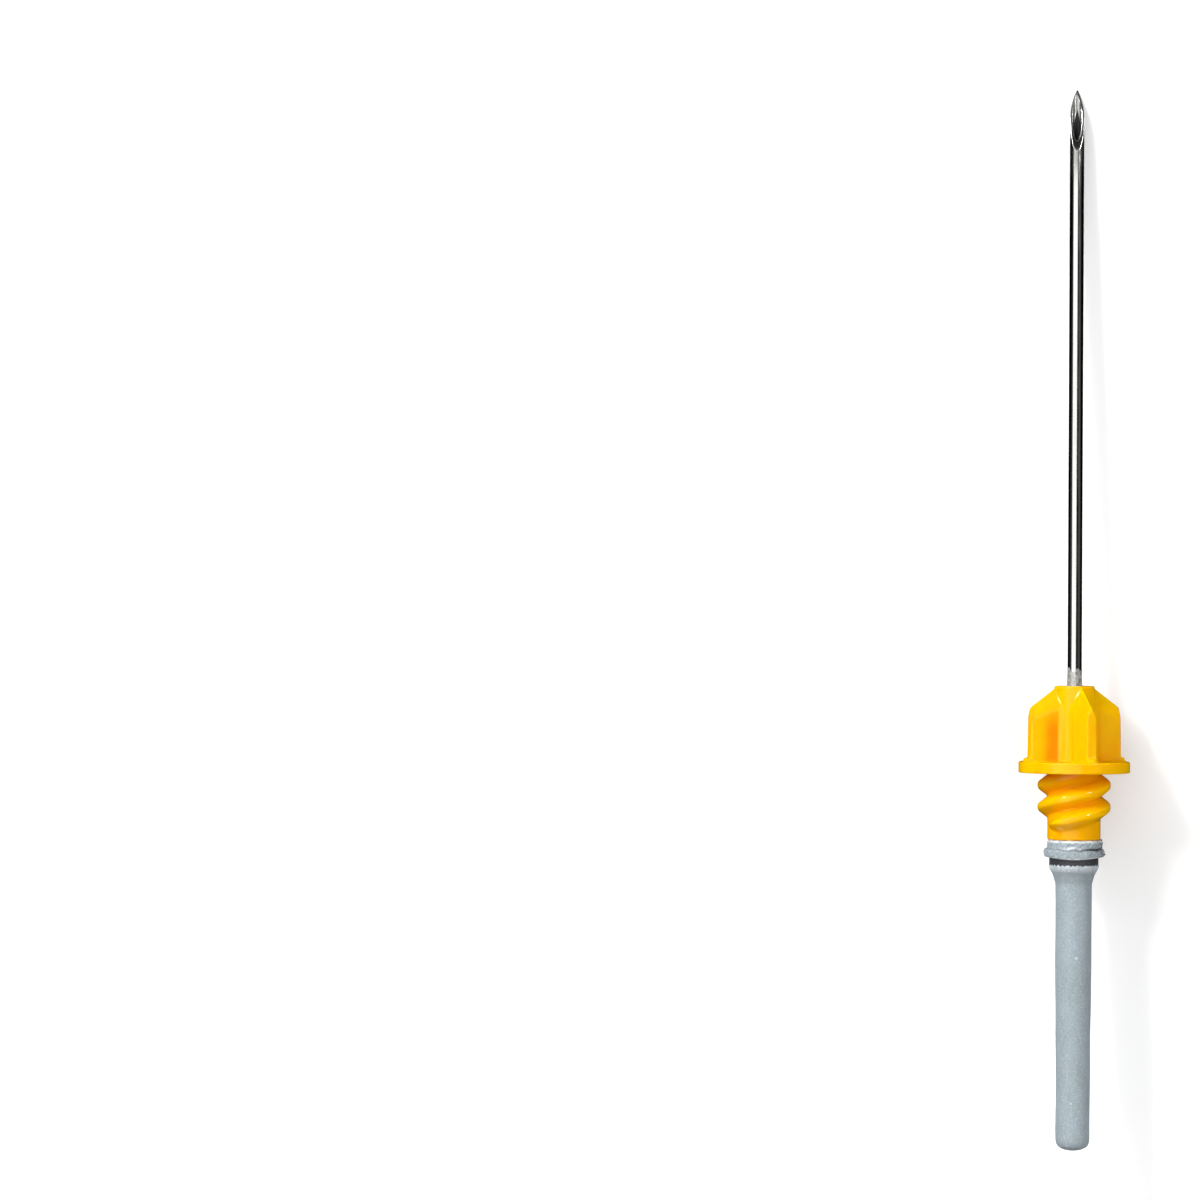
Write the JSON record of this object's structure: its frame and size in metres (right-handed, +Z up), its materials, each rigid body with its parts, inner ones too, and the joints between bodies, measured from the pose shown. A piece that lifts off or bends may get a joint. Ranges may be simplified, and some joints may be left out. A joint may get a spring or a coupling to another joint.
{
  "type": "blood collection needle",
  "caption": "Double-ended blood collection needle with bevelled steel tube, finned and threaded plastic hub, and an elastic sleeve closed over the rear point.",
  "frame": {"origin": "bottom centre of the bounding box, on the surface the needle lies on", "axes": "+Y points the way the front point does, with the needle axis tilted 4.1 degrees down towards the point because the part rests on its flange and its point; +Z is up and the bevel faces up"},
  "size_m": [0.007, 0.0676, 0.0071],
  "materials": {
    "cannula_steel": "drawn stainless steel tube, polished, with finely ground bevel faces",
    "cured_adhesive": "clear greyish adhesive, cured, thin and irregular where it wets the tube",
    "hub_polypropylene": "glossy yellow moulded polypropylene, slightly translucent in thin sections",
    "sleeve_elastomer": "matte blue-grey elastomer with a trimmed, slightly torn upper rim"
  },
  "bodies": {
    "root": {"cannula": "cannula_steel", "adhesive": "cured_adhesive", "hub": "hub_polypropylene", "sleeve": "sleeve_elastomer"}
  },
  "joints": []
}
